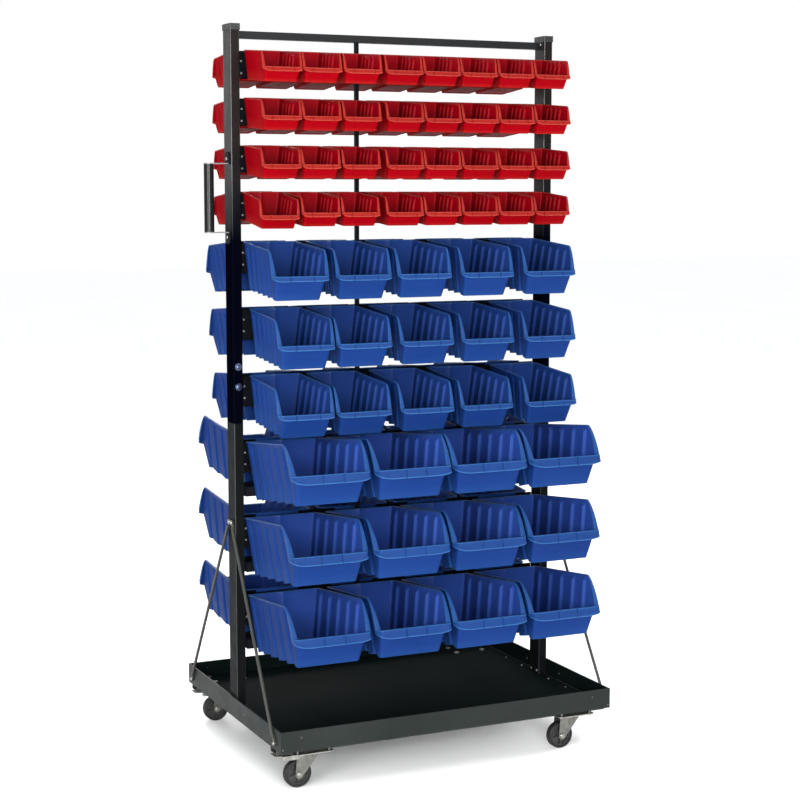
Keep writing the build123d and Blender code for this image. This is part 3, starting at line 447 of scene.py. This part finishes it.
# ------------------------------------------------------------------
# hanging bins.  Local frame in millimetres: x across, d outwards from
# the back wall, z up with 0 at the top edge.
# ------------------------------------------------------------------
BINS = {
    "small": dict(wtb=108.5, wtf=111.5, wb=91.8, lt=153.3, lr=167.5, dr=40.0, lip=12.0,
                  fl=2.0, lw=161.0, lb=143.8, h=78.9, t=2.0, th=4.5, yb=10.6, ths=(4.7, 4.5, 4.5, 5.2),
                  rc=5.0, rb=5.5, rlip=6.0, ribs=((36.0, 0.15, 4.2), (59.0, 0.15, 4.2), (82.0, 0.3, 4.2), (106.0, 1.5, 4.2)), rw=6.6,
                  saw=0.0, floor=1.8, tilt=3.2, marks=0.62, recess=0.0,
                  rows=(1946.0, 1819.6, 1693.0, 1568.0),
                  xs=((-403.1, -289.6, -172.8, -51.7, 62.6, 176.5, 291.9, 406.4),
                      (-405.1, -291.7, -175.2, -48.0, 66.3, 181.3, 294.8, 409.3),
                      (-407.5, -294.7, -177.8, -48.6, 66.0, 180.9, 294.8, 409.3),
                      (-405.7, -295.6, -179.9, -49.0, 66.6, 181.6, 295.8, 409.9)),
                  bxs=((-390.0, -278.0, -165.5, -52.5, 60.5, 187.5, 302.5, 415.8),
                       (-394.0, -280.0, -166.5, -40.5, 73.5, 187.5, 304.5, 417.3),
                       (-396.0, -283.5, -150.5, -37.0, 76.5, 189.5, 302.4, 415.3),
                       (-391.0, -278.9, -165.5, -52.5, 62.5, 176.5, 304.5, 418.5))),
    "medium": dict(wtb=151.5, wtf=161.0, wb=126.0, lt=210.9, lr=255.1, dr=65.0, lip=14.5,
                   fl=2.5, lw=246.0, lb=221.6, h=132.8, t=2.3, th=4.6, yb=11.3, ths=(4.6, 4.6, 4.6),
                   rc=7.0, rb=6.0, rlip=10.0, ribs=tuple((32.0 + 40.0 * i, 4.8, 6.4) for i in range(5)), rw=9.5,
                   saw=6.2, floor=6.8, tilt=2.0, marks=0.48, recess=0.0,
                   rows=(1434.5, 1253.2, 1070.3),
                   xs=((-388.3, -207.2, -28.7, 162.3, 357.4),
                       (-373.0, -206.3, -20.8, 164.8, 360.3),
                       (-374.6, -207.8, -19.9, 162.6, 365.4)),
                   bxs=((-356.5, -162.0, 28.5, 205.5, 389.4),
                        (-362.5, -176.0, 12.5, 199.5, 382.6),
                        (-351.5, -168.0, 20.5, 196.5, 376.2))),
    "large": dict(wtb=212.5, wtf=223.0, wb=177.0, lt=302.2, lr=369.8, dr=82.0, lip=25.0,
                  fl=3.0, lw=357.0, lb=318.4, h=162.1, t=2.5, th=-6.1, yb=1.0, ths=(-6.1, -6.1, -6.1),
                  rc=9.0, rb=7.0, rlip=15.0, ribs=((38.0, 5.6, 7.6), (100.0, 5.6, 7.6), (163.0, 5.6, 7.6), (226.0, 5.6, 7.6), (286.0, 5.6, 7.6)), rw=12.5,
                  saw=7.8, floor=8.4, tilt=3.4, marks=0.31, recess=0.8,
                  rows=(887.4, 676.0, 459.2),
                  xs=((-356.9, -120.2, 108.5, 341.1),
                      (-363.1, -123.3, 108.8, 341.1),
                      (-355.7, -119.0, 111.9, 345.9)),
                  bxs=((-344.8, -112.8, 115.7, 347.6),
                       (-348.8, -118.8, 110.7, 350.0),
                       (-341.8, -108.8, 121.7, 351.0))),
}
LOOSE = [
    ("front", "small", 1, 4), ("front", "small", 2, 7), ("front", "small", 4, 1),
    ("front", "medium", 1, 5), ("front", "medium", 2, 1), ("front", "medium", 3, 3),
    ("front", "large", 2, 2), ("front", "large", 2, 4), ("front", "large", 3, 1),
    ("back", "small", 2, 5), ("back", "medium", 2, 3), ("back", "large", 3, 2),
]


def bin_shell(p):
    """Closed shell of one bin: (verts, faces, wear and painted-highlight weights, material indices) in its local
    frame, verts as (x, -d, z).
    """
    h, t, rc, rb = p["h"], p["t"], p["rc"], p["rb"]
    yb = p["yb"]
    ltop = p["lb"] + (p["lw"] - p["lb"]) * h / (h - p["dr"])
    hb_t = p["wtb"] / 2 - p["fl"]
    grow = (p["wtf"] - p["wtb"]) / 2 / p["lt"]
    hb_b = p["wb"] / 2 - grow * p["lb"]
    d_end = p["lw"] - rc
    W1 = p["wtf"] / 2

    def d0(z):
        return lerp(yb, 0.0, (z + h) / h)

    def d1(z):
        return lerp(p["lb"], ltop, (z + h) / h)

    def half(d, z):
        return lerp(hb_b, hb_t, (z + h) / h) + grow * d

    # mouth curve: flat, then an S down to the front wall
    span = d_end - p["lt"]
    knots = [(-0.30, 0.0), (-0.10, 0.0), (0.06, 0.015), (0.24, 0.10), (0.50, 0.31), (0.75, 0.59), (0.90, 0.82), (0.97, 0.955), (1.0, 1.0)]
    if p["th"] > 0:
        knots = [(-0.30, 0.0), (-0.10, 0.0), (0.06, 0.015), (0.22, 0.10), (0.46, 0.31), (0.72, 0.61), (0.88, 0.84), (0.96, 0.96), (1.0, 1.0)]
    if p["h"] < 100:
        # the small bin's mouth starts further back and drops straighter
        span_back = 14.0
    else:
        span_back = 6.0
    start = p["lt"] - span_back
    full = d_end - start
    kn = [(start + a * full, -b * p["dr"]) for a, b in knots if a >= -0.05 or True]

    def mouth_z(d):
        if d <= kn[0][0]:
            return 0.0
        if d >= kn[-1][0]:
            return -p["dr"]
        for i in range(len(kn) - 1):
            a, b = kn[i], kn[i + 1]
            if a[0] <= d <= b[0]:
                # cubic Hermite with finite difference slopes keeps the line smooth
                pa = kn[i - 1] if i else a
                pb = kn[i + 2] if i + 2 < len(kn) else b
                ma = (b[1] - pa[1]) / (b[0] - pa[0] + 1e-9)
                mb = (pb[1] - a[1]) / (pb[0] - a[0] + 1e-9)
                L = b[0] - a[0]
                k = (d - a[0]) / L
                return ((2 * k**3 - 3 * k**2 + 1) * a[1] + (k**3 - 2 * k**2 + k) * L * ma
                        + (-2 * k**3 + 3 * k**2) * b[1] + (k**3 - k**2) * L * mb)
        return -p["dr"]

    zq = -0.75 * h
    ref0, ref1 = d0(zq) + rb, d1(zq) - rc
    plain0 = p["ribs"][0][0] - p["rw"] * 1.15
    plain1 = p["ribs"][-1][0] + p["rw"] * 1.15

    def side_d(sg, z):
        d = lerp(ref0, ref1, sg)
        if d < plain0:
            return lerp(d0(z) + rb, plain0, (d - ref0) / (plain0 - ref0))
        if d > plain1:
            return lerp(plain1, d1(z) - rc, (d - plain1) / (ref1 - plain1))
        return d

    def top_of(sg):
        lo, hi = -p["dr"], 0.0
        if mouth_z(side_d(sg, 0.0)) >= -1e-6:
            return 0.0
        for _ in range(40):
            mid = (lo + hi) / 2
            if mid - mouth_z(side_d(sg, mid)) > 0:
                hi = mid
            else:
                lo = mid
        return (lo + hi) / 2

    dq = ref1 - ref0
    rib_s = [((c - ref0) / dq, ao, ai) for c, ao, ai in p["ribs"]]
    rw = p["rw"] / dq

    # stations along the side: ribs, plateaus, and the mouth's curve
    sgs = {0.0, 1.0}
    for c, ao, ai in rib_s:
        for k in (-1.12, -0.94, -0.76, -0.58, -0.40, 0.0, 0.40, 0.58, 0.76, 0.94, 1.12):
            sgs.add(c + k * rw)
    cs = [-rw * 1.15] + [c for c, _, _ in rib_s] + [1.0 + rw * 1.15]
    for a, b in zip(cs, cs[1:]):
        if b - a > 3 * rw:
            sgs.add((a + b) / 2)
    # where the mouth curve lies
    s = 0.0
    mouth_s = []
    steps = 240
    last = None
    for i in range(steps + 1):
        sg = i / steps
        z = top_of(sg)
        if z < 0:
            if last is None:
                mouth_s.append(max(0.0, sg - 0.02))
                mouth_s.append(sg)
                last = (side_d(sg, z), z)
            else:
                q = (side_d(sg, z), z)
                if math.hypot(q[0] - last[0], q[1] - last[1]) > p["dr"] / 9.0:
                    mouth_s.append(sg)
                    last = q
    sgs |= set(mouth_s)
    ordered = []
    for v in sorted(x for x in sgs if 0.0 <= x <= 1.0):
        if not ordered or v - ordered[-1] > 0.10 * rw:
            ordered.append(v)
    ordered[-1] = 1.0

    st = []          # stations of the left half, back centre to front centre
    for x in (0.0, 0.9, 2.2, 0.30, 0.62, 0.88):
        st.append(dict(k="back", x=x if x in (0.0,) else x, absx=x in (0.9, 2.2)))
    for fi in (90, 68, 45, 22):
        st.append(dict(k="bcorner", fi=rad(fi)))
    for sg in ordered:
        st.append(dict(k="side", sg=sg))
    for fi in (7, 18, 32, 48, 66, 90):
        st.append(dict(k="fcorner", fi=rad(fi)))
    mk = p["marks"]
    lipr = p["rlip"]
    round_l = p["lip"] * 1.30          # how far the lip's round corner reaches along the front
    fx = [1.0 - k * round_l / (W1 - lipr) for k in (0.06, 0.22, 0.48, 0.78, 1.0)]
    g = 1.3 / W1
    for v in (mk + 2.2 * g, mk + 1.1 * g, mk, mk - 1.1 * g, mk - 2.2 * g):
        fx.append(v)
    for v in (0.2, 0.08):
        if all(abs(v - u) > 0.05 for u in fx):
            fx.append(v)
    fx = sorted(fx, reverse=True) + [0.0]
    for v in fx:
        st.append(dict(k="front", x=v))

    def rib_in(sg, z, ztop, outer):
        tot = 0.0
        for c, ao, ai in rib_s:
            u = (sg - c) / rw
            if abs(u) < 1:
                tot += (ao if outer else ai) * (1.0 - smooth01((abs(u) - 0.30) / 0.66))
        fade = smooth01((ztop - z - (6.0 if h < 100 else 9.0)) / (6.0 if h < 100 else 9.0))
        return tot * fade

    def wall(s, z, inset, outer):
        k = s["k"]
        if k == "back":
            w = half(d0(z) + rb, z) - rb
            x = s["x"] if (s["absx"] or s["x"] == 0.0) else s["x"] * w
            bump_in = 0.0
            if not outer and abs(x) < 1.0 and s["x"] in (0.0, 0.9):
                bump_in = (1.1 if s["x"] == 0.0 else 0.6)
            return (-x, d0(z) + inset + bump_in)
        if k == "bcorner":
            cx, cd = half(d0(z) + rb, z) - rb, d0(z) + rb
            r = max(rb - inset, 0.3)
            return (-(cx + r * math.cos(s["fi"])), cd - r * math.sin(s["fi"]))
        if k == "side":
            d = side_d(s["sg"], z)
            w = half(d, z) - rib_in(s["sg"], z, s["zt"], outer)
            return (-(w - inset), d)
        if k == "fcorner":
            cx, cd = half(d1(z) - rc, z) - rc, d1(z) - rc
            r = max(rc - inset, 0.3)
            return (-(cx + r * math.cos(s["fi"])), cd + r * math.sin(s["fi"]))
        w = half(d1(z) - rc, z) - rc
        return (-s["x"] * w, d1(z) - inset)

    lip_b0 = max(3.4, p["lip"] * 0.34)

    def lip_depth(run):
        u = min(1.0, run / (1.326 * lipr + 0.906 * round_l))
        return lerp(lip_b0, p["lip"], (1.0 - (1.0 - u) ** 2) ** 0.62)

    def slope_n(d):
        e = 0.8
        dz = (mouth_z(d + e) - mouth_z(d - e)) / (2 * e)
        L = math.hypot(1.0, dz)
        return (dz / L, -1.0 / L)

    tl = 1.7 if h < 100 else 2.1
    rows_by_station = []
    wear_and_highlight_by_station = []
    offs = [0.0, 3.0, 6.5, 9.5, 12.5, 16.5, 21.0] if h < 100 else [0.0, 4.0, 8.5, 12.0, 15.5, 20.0, 26.0]
    for s in st:
        k = s["k"]
        if k in ("back", "bcorner"):
            zt, N, B = 0.0, (0.0, -1.0), 3.0
        elif k == "side":
            zt = top_of(s["sg"])
            s["zt"] = zt
            dd = side_d(s["sg"], zt)
            N = slope_n(dd)
            prog = smooth01(-zt / p["dr"])
            B = lerp(3.0, max(3.4, p["lip"] * 0.34), smooth01(-zt / p["dr"] * 1.4))
        elif k == "fcorner":
            zt = -p["dr"]
            q = s["fi"] / rad(90)
            n0 = slope_n(d_end - 0.5)
            N = (lerp(n0[0], 0.0, smooth01(q * 1.6)), -1.0)
            L = math.hypot(*N)
            N = (N[0] / L, N[1] / L)
            B = lip_depth(lipr * (0.906 * (1.0 - math.cos(s["fi"])) + 0.42 * math.sin(s["fi"])))
        else:
            zt, N = -p["dr"], (0.0, -1.0)
            B = lip_depth(1.326 * lipr + 0.906 * (1.0 - s["x"]) * (W1 - lipr))
        s["zt"] = zt
        bx, bd = wall(s, zt, t, False)
        # outer edge of the flange
        if k == "back":
            f0 = (bx, bd - t - 0.8)
        elif k == "bcorner":
            ox, od = wall(s, zt, 0.0, True)
            q = 1 - s["fi"] / rad(90)
            f0 = (ox - p["fl"] * q, od - 0.8 * (1 - q))
        elif k == "side":
            Wd = lerp(p["wtb"] / 2, W1, min(1.0, max(0.0, bd / p["lt"])))
            f0 = (-Wd, bd)
        elif k == "fcorner":
            f0 = (-(W1 - lipr + lipr * math.cos(s["fi"])), p["lr"] - lipr + lipr * math.sin(s["fi"]))
            # the corner starts where the side ends, and swings forward
            q = s["fi"] / rad(90)
            f0 = (f0[0], lerp(bd, f0[1], smooth01(q * 1.25)) if q < 0.8 else f0[1])
        else:
            rec = 0.0
            m = abs(s["x"] - mk)
            if m < 1.6 * g:
                rec = 3.2
            elif s["x"] < mk:
                rec = p["recess"]
            f0 = (-s["x"] * (W1 - lipr), p["lr"] - rec)
        ax, ad = f0[0] - bx, f0[1] - bd
        wd = math.hypot(ax, ad)
        ax, ad = ax / wd, ad / wd
        tilt = 0.0
        if k == "front":
            tilt = p["tilt"]
        elif k == "fcorner":
            tilt = p["tilt"] * smooth01(s["fi"] / rad(90))
        r1, r2 = 0.9, 1.2
        tb = min(tl, wd - t - 0.1)

        def sec(a, b):
            lean = tilt * (1 - min(1.0, b / B)) if a > wd * 0.55 else 0.0
            a = a - lean
            return (bx + ax * a, -(bd + ad * a + N[0] * b), zt + N[1] * b)

        pts, wear_and_highlight = [], []
        zf = -h + p["floor"] + t
        saw = 0.0
        if k == "side" and p["saw"]:
            # toothed lower edge: each stretch rises to the next rib, then drops
            edges = [-0.08] + [c + 0.55 * rw for c, _, _ in rib_s] + [1.0]
            for a, b in zip(edges, edges[1:]):
                if a <= s["sg"] < b or (b == 1.0 and s["sg"] >= a):
                    saw = p["saw"] * min(1.0, (s["sg"] - a) / (b - a + 1e-9)) if b < 1.0 or len(rib_s) == 0 else p["saw"] * 0.35 * (1 - (s["sg"] - a) / (b - a))
                    break
        # inner floor ring and fillet
        rf = 4.0
        for ins, zz in ((t + rf, zf), (t + rf * 0.42, zf + rf * 0.18), (t + rf * 0.12, zf + rf * 0.48)):
            x, d = wall(s, zz, ins, False)
            pts.append((x, -d, zz)); wear_and_highlight.append(0.0)
        low = zf + rf
        zs = [low, lerp(low, zt - offs[-1], 0.5)] + [zt - o for o in reversed(offs[1:])]
        for zz in zs:
            x, d = wall(s, zz, t, False)
            pts.append((x, -d, zz)); wear_and_highlight.append(0.0)
        # rim; its lighter weights on the top face and along the lip's edges are painted highlight
        v1, v2 = min(r2 + 1.6, lerp(r2, B - 1.0, 0.35)), max(B - 3.3, lerp(r2, B - 1.0, 0.55))
        v0, v3 = lerp(r2, v1, 0.5), lerp(v2, B - 1.0, 0.35)
        pan = 0.8 * smooth01((B - 6.0) / 4.0)
        for a, b, w in ((0.0, r1, 0.5), (0.30 * r1, 0.30 * r1, 1.0), (r1, 0.0, 0.6),
                        (max(wd - r2, wd * 0.6), 0.0, 0.4), (wd - 0.30 * r2, 0.30 * r2, 1.0), (wd, r2, 0.8),
                        (wd, v0, 0.6), (wd - pan, v1, 0.0), (wd - pan, v2, 0.0), (wd, v3, 1.0), (wd, B - 1.0, 1.0), (wd - 0.3, B - 0.3, 1.0), (wd - 0.9 if tb > 1.0 else wd - tb * 0.5, B, 0.8),
                        (wd - tb, B - 0.2, 0.3), (wd - tb, max(tl + 0.6, 0.0) if B > tl + 1.2 else B - 0.4, 0.0), (t + 0.5 if wd - tb > t + 0.6 else t + (wd - tb - t) * 0.5, tl, 0.0)):
            pts.append(sec(a, b)); wear_and_highlight.append(w * (1.0 if k in ("front", "fcorner") else 0.5))
        # outer wall
        rbm = 2.2
        zlow = -h + saw
        zs = [zt - (tl + 1.4)] + [zt - o for o in offs[2:]] + [lerp(zlow + rbm, zt - offs[-1], 0.5), zlow + rbm]
        for i, zz in enumerate(zs):
            x, d = wall(s, zz, 0.0, True)
            pts.append((x, -d, zz)); wear_and_highlight.append(0.0 if i < len(zs) - 1 else 0.35)
        for ins, up, w in ((0.35, rbm * 0.35, 0.9), (rbm * 0.8, 0.0, 0.9), (rbm * 0.8 + 1.0, 0.0, 0.5)):
            x, d = wall(s, zlow + up, ins, True)
            pts.append((x, -d, zlow + up)); wear_and_highlight.append(w)
        zu = -h + p["floor"]
        for ins, zz in ((rbm * 0.8 + 1.4, lerp(zlow, zu, 0.5)), (rbm * 0.8 + 1.8, zu)):
            x, d = wall(s, zz, ins, True)
            pts.append((x, -d, zz)); wear_and_highlight.append(0.0)
        rows_by_station.append(pts)
        wear_and_highlight_by_station.append(wear_and_highlight)

    half_n = len(st)
    rim0, rim1 = 3 + 2 + len(offs) - 1, 3 + 2 + len(offs) - 1 + 14
    loop = list(rows_by_station)
    wloop = list(wear_and_highlight_by_station)
    for i in range(half_n - 2, 0, -1):
        loop.append([(-x, y, z) for x, y, z in rows_by_station[i]])
        wloop.append(wear_and_highlight_by_station[i])
    n, m = len(loop), len(loop[0])
    verts = [v for row in loop for v in row]
    wear_and_highlight = [w for row in wloop for w in row]
    faces, mats = [], []
    for i in range(n):
        j = (i + 1) % n
        for q in range(m - 1):
            faces.append((i * m + q, i * m + q + 1, j * m + q + 1, j * m + q))
            # slot 0 outside, slot 1 the rim copy (lighter, painted light), slot 2 the inside copy (for blue bins also
            # lighter, painted light)
            mats.append(2 if q < rim0 - 1 else 1 if q < rim1 else 0)
    faces.append([i * m for i in range(n)])
    faces.append([i * m + m - 1 for i in range(n)])
    mats += [2, 0]

    def add(vs, fs, w=0.3):
        b = len(verts)
        verts.extend(vs)
        wear_and_highlight.extend([w] * len(vs))
        faces.extend([tuple(b + i for i in f) for f in fs])
        mats.extend([0] * len(fs))

    # hook behind the back wall: a bent strip with rounded bends
    hw = p["wtb"] * 0.30
    prof = [(-0.4, 0.0), (5.6, 0.0), (6.4, -0.3), (6.8, -1.1), (6.8, -8.2), (6.5, -8.9), (5.9, -9.1), (5.4, -8.8), (5.2, -8.2), (5.2, -1.9), (-0.4, -1.9)]
    vs, fs = [], []
    xs = [-hw, -hw + 0.6, hw - 0.6, hw]
    for xi, x in enumerate(xs):
        for y, z in prof:
            k = 0.0 if 0 < xi < 3 else 0.25
            vs.append((x, y + (k if y > 6 else 0) * -1, z - k if z == 0.0 else z))
    c = len(prof)
    for a in range(3):
        for b in range(c):
            fs.append((a * c + b, a * c + (b + 1) % c, (a + 1) * c + (b + 1) % c, (a + 1) * c + b))
    fs.append(tuple(range(c)))
    fs.append(tuple(3 * c + i for i in range(c)))
    add(vs, fs)
    # moulding gate on the underside: a small raised ring with a dimple
    cd = (p["lb"] + yb) / 2
    vs, fs = [], []
    seg = 18
    rings = [(4.2, 0.3), (4.2, -0.7), (3.4, -1.0), (2.2, -0.9), (1.6, -0.2)]
    for r, dz in rings:
        for i in range(seg):
            a = 2 * math.pi * i / seg
            vs.append((r * math.cos(a), -cd + r * math.sin(a), -h + p["floor"] + dz))
    for a in range(len(rings) - 1):
        for i in range(seg):
            fs.append((a * seg + i, a * seg + (i + 1) % seg, (a + 1) * seg + (i + 1) % seg, (a + 1) * seg + i))
    fs.append(tuple(range(seg)))
    fs.append(tuple((len(rings) - 1) * seg + i for i in range(seg)))
    add(vs, fs, 0.6)
    return verts, faces, wear_and_highlight, mats


SHELLS = {k: bin_shell(p) for k, p in BINS.items()}


def place(side, size, row, col, verts):
    p = BINS[size]
    x0 = p["xs" if side == "front" else "bxs"][row - 1][col - 1]
    y0, z0, th, turn = -31.0, p["rows"][row - 1], rad(p["ths"][row - 1]), 0.0
    if (side, size, row, col) == ("front", "small", 4, 1):
        x0, y0, z0, th, turn = x0 - 4.3, y0 - 0.4, z0 + 1.0, rad(8.0), rad(-1.0)
    m = Matrix.Translation((x0, y0, z0)) @ Matrix.Rotation(th, 4, "X") @ Matrix.Rotation(turn, 4, "Z")
    if side == "back":
        m = Matrix.Rotation(math.pi, 4, "Z") @ m
    m = Matrix.Translation((SX, 0, 0)) @ m
    return [tuple(m @ Vector(v)) for v in verts]


def build_bins():
    rng = random.Random(41)
    for side in ("front", "back"):
        for size, p in BINS.items():
            verts, faces, wear_and_highlight, mats = SHELLS[size]
            mat, slot = {"small": ((RED, RED_RIM_PAINTED_LIGHT, RED_IN), "red_plastic"), "medium": ((BLUE, BLUE_RIM_PAINTED_LIGHT, BLUE_MEDIUM_INSIDE_PAINTED_LIGHT), "blue_plastic"),
                         "large": ((BLUE, BLUE_RIM_PAINTED_LIGHT, BLUE_LARGE_INSIDE_PAINTED_LIGHT), "blue_plastic")}[size]
            for r in range(1, len(p["rows"]) + 1):
                V, F, A, T, I = [], [], [], [], []
                for c in range(1, len(p["xs"][r - 1]) + 1):
                    key = (side, size, r, c)
                    placed = place(*key, verts)
                    tone = rng.random()
                    if key in LOOSE:
                        nm = "%s_%s_bin_r%dc%d" % key
                        make_object(nm + "_shell", placed, faces, mat, nm_body(nm), (nm,),
                                    attrs={"wear_and_highlight": wear_and_highlight, "tone": [tone] * len(wear_and_highlight)}, indices=mats)
                        continue
                    b = len(V)
                    V += placed
                    F += [tuple(b + i for i in f) for f in faces]
                    A += wear_and_highlight
                    T += [tone] * len(wear_and_highlight)
                    I += mats
                make_object("%s_%s_row%d_shells" % (side, size, r), V, F, mat, "root",
                            ("%s_%s_bins" % (side, size),), attrs={"wear_and_highlight": A, "tone": T}, indices=I)


BODY_OF = {}
for bname, members in frame["record"]["behaviour"]["bodies"].items():
    for n in members:
        BODY_OF[n] = bname


def nm_body(node):
    return BODY_OF[node]


build_bins()

# ------------------------------------------------------------------
# floor and light
# ------------------------------------------------------------------
fm = Mat("floor_pale")
fm.link(fm.ramp(fm.noise(0.9, 3.0, 0.5), (0.3, (0.955, 0.955, 0.955)), (0.7, (0.97, 0.97, 0.97))), fm.p.inputs["Base Color"])
fm.set(rough=0.62, spec=0.25)
bpy.ops.mesh.primitive_plane_add(size=60.0, location=(0, 0, 0))
floor = bpy.context.object
floor.name = "floor"
floor.data.materials.append(fm.m)


def area(name, loc, at, size_x, size_y, power, colour=(1, 1, 1), spread=180):
    d = bpy.data.lights.new(name, "AREA")
    d.shape = "RECTANGLE"
    d.size, d.size_y = size_x, size_y
    d.energy = power
    d.color = colour
    d.spread = rad(spread)
    o = bpy.data.objects.new(name, d)
    scene.collection.objects.link(o)
    o.location = loc
    o.rotation_euler = (Vector(at) - Vector(loc)).to_track_quat("-Z", "Y").to_euler()
    return o


area("key", (-1.7, -5.6, 1.65), (0.0, 0.0, 1.05), 3.0, 2.2, 395)
area("key_left", (-4.3, -3.7, 1.8), (0.0, 0.0, 1.05), 2.6, 2.2, 250)
area("high", (1.9, -4.6, 3.2), (0.0, 0.0, 1.05), 2.4, 2.0, 26)
area("side", (-4.2, -0.2, 2.1), (0.0, 0.0, 1.1), 0.9, 2.4, 7)
# a card behind the handle's end: its lower edge is level with the eye, so only the upper part of the post picks it up
area("card", (-1.9, 3.9, 2.25), (-0.5, 0.0, 1.75), 1.5, 1.3, 6)
# tall narrow lamps: they draw the bright lines on the handle tube and along the posts
area("strip_a", (-3.3, -2.5, 1.5), (-0.5, 0.0, 1.4), 0.03, 2.6, 18)
area("strip_b", (-1.5, -4.2, 1.5), (-0.5, 0.0, 1.4), 0.03, 2.6, 18)
area("rear", (0.9, 5.7, 3.0), (0.0, 0.0, 1.05), 3.0, 1.6, 125)
area("right", (4.4, 0.3, 2.0), (0.0, 0.0, 1.05), 1.6, 2.2, 120)
sun = bpy.data.lights.new("overhead", "SUN")
sun.energy = 2.0
sun.angle = rad(70)
sun_ob = bpy.data.objects.new("overhead", sun)
scene.collection.objects.link(sun_ob)
sun_ob.location = (0, 0, 5)

world = bpy.data.worlds.new("studio")
scene.world = world
world.use_nodes = True
wn = world.node_tree
wn.nodes.clear()
wo = wn.nodes.new("ShaderNodeOutputWorld")
w_room = wn.nodes.new("ShaderNodeBackground")
w_room.inputs["Color"].default_value = (0.96, 0.98, 1.0, 1.0)
w_room.inputs["Strength"].default_value = 0.46
w_back = wn.nodes.new("ShaderNodeBackground")
w_back.inputs["Color"].default_value = (1.0, 1.0, 1.0, 1.0)
w_back.inputs["Strength"].default_value = 1.0
w_path = wn.nodes.new("ShaderNodeLightPath")
w_mix = wn.nodes.new("ShaderNodeMixShader")
wn.links.new(w_path.outputs["Is Camera Ray"], w_mix.inputs[0])
wn.links.new(w_room.outputs[0], w_mix.inputs[1])
wn.links.new(w_back.outputs[0], w_mix.inputs[2])
wn.links.new(w_mix.outputs[0], wo.inputs[0])

scene.view_settings.view_transform = "Standard"
scene.view_settings.look = "None"
